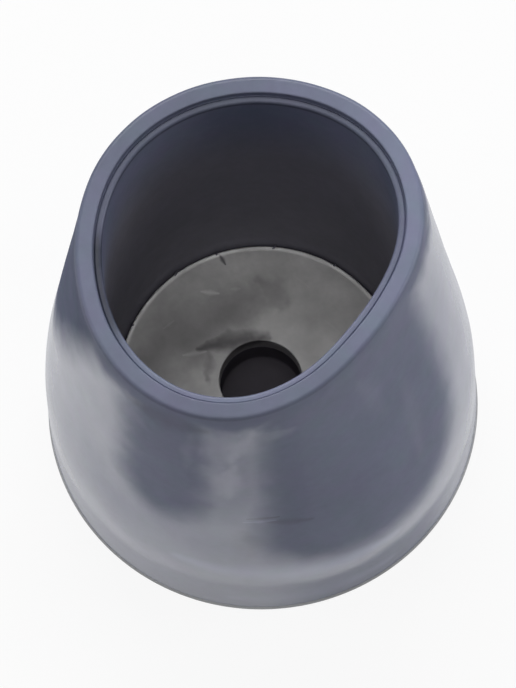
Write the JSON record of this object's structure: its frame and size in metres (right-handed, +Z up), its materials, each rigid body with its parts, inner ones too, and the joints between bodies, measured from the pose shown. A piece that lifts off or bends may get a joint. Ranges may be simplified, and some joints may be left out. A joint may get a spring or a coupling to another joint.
{
  "type": "rubber cane tip",
  "caption": "Flared rubber ferrule with a deep round socket, a steel washer on the socket's floor and a ringed tread under its wide foot.",
  "frame": {"origin": "centre of the sole, in the plane that the tip stands on", "axes": "+Z up the socket's axis, from the sole to the mouth; X and Y are alike, because the tip is round"},
  "size_m": [0.038, 0.038, 0.041],
  "materials": {
    "grey_rubber": "smooth moulded blue-grey rubber with a soft satin sheen",
    "washer_steel": "dull stamped steel with a faint mottle and a few fine scratches"
  },
  "bodies": {
    "root": {"rubber_ferrule": "grey_rubber", "steel_washer": "washer_steel"}
  },
  "joints": []
}
